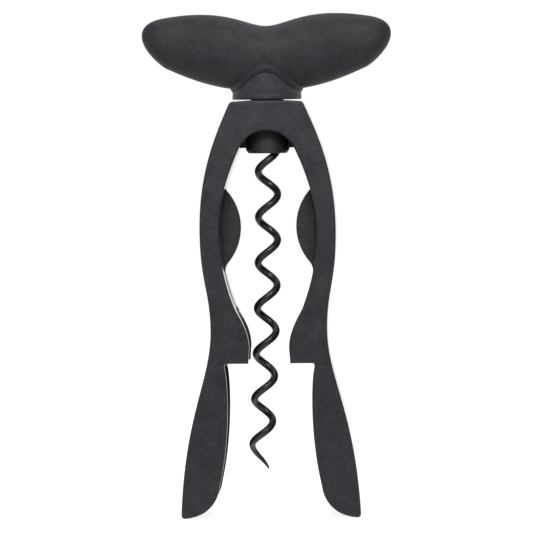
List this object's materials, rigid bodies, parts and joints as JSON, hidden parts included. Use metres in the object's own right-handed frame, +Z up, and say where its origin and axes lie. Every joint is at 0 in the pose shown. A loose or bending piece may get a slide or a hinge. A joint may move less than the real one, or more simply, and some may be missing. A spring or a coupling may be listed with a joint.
{
  "type": "tabletop corkscrew",
  "caption": "Self-pulling tabletop corkscrew: a winged handle turns a captive worm in a straddling frame that stands over the bottle neck, draws the cork and holds it between fins.",
  "frame": {"origin": "on the worm's axis, in the plane where the two seat blocks rest on the bottle lip; the lower legs reach below it", "axes": "+Z up along the worm towards the handle, -Y the front that the picture shows, +X the viewer's right"},
  "size_m": [0.0906, 0.0278, 0.1824],
  "materials": {
    "frame": "soft-touch matt charcoal over rigid plastic",
    "grip": "soft-touch matt charcoal elastomer",
    "core": "fine satin charcoal plastic",
    "worm": "black low-friction coating, semi-gloss",
    "bearing": "natural satin black acetal",
    "spindle": "turned"
  },
  "bodies": {
    "frame": {"crown": "frame", "left_leg": "frame", "right_leg": "frame", "left_cork_fin": "frame", "right_cork_fin": "frame", "crown_bush": "bearing", "thrust_washer": "bearing"},
    "handle": {"handle_grip": "grip", "handle_core": "core", "core_plug": "core", "spindle": "spindle", "worm": "worm", "retaining_collar": "bearing"}
  },
  "joints": [
    {"name": "handle_spin", "type": "hinge", "parent": "frame", "child": "handle", "pos_m": [0, 0, 0], "axis": [0, 0, 1], "continuous": true}
  ]
}
